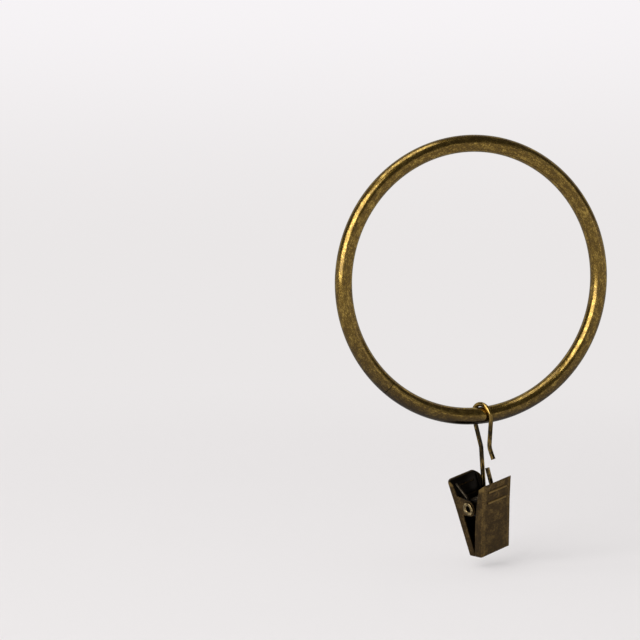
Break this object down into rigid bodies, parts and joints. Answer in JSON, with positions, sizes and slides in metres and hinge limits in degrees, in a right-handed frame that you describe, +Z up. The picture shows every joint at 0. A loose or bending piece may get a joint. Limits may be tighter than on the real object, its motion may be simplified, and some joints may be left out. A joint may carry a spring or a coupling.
{
  "type": "curtain ring with clip",
  "caption": "Round wire curtain ring with a small wire hook hung over it, which carries a spring-loaded folded-sheet clip for the curtain's top edge.",
  "frame": {"origin": "centre of the ring's hole", "axes": "+Y along the ring's axis towards its back, +Z up, the ring's front faces -Y, +X to the right seen from the front"},
  "size_m": [0.0578, 0.0126, 0.0846],
  "materials": {
    "ring_metal": "antique brass plating on steel wire, darkened and rubbed",
    "hook_metal": "antique brass plating on steel wire",
    "clip_metal": "dark antique brass plating on sheet steel",
    "spring_metal": "dark spring steel"
  },
  "bodies": {
    "ring": {"ring": "ring_metal"},
    "hook": {"hook": "hook_metal"},
    "clip": {"back_jaw": "clip_metal", "torsion_spring": "spring_metal", "pivot_rivet": "clip_metal"},
    "jaw": {"front_jaw": "clip_metal"}
  },
  "joints": [
    {"name": "hook_swing", "type": "hinge", "parent": "ring", "child": "hook", "pos_m": [0.00204, 0, -0.02712], "axis": [0.9972, 0, 0.075], "range_deg": [-110, 110]},
    {"name": "clip_swing", "type": "hinge", "parent": "hook", "child": "clip", "pos_m": [0.00237, 0.00024, -0.04497], "axis": [0.9082, 0.367, 0.2011], "range_deg": [-8, 24]},
    {"name": "jaw_open", "type": "hinge", "parent": "clip", "child": "jaw", "pos_m": [0.00237, 0.00024, -0.04497], "axis": [-0.9082, -0.367, -0.2011], "range_deg": [0, 28], "stiffness_Nm_per_rad": 0.027, "springref_deg": -57.3, "deforming": ["torsion_spring"]}
  ]
}
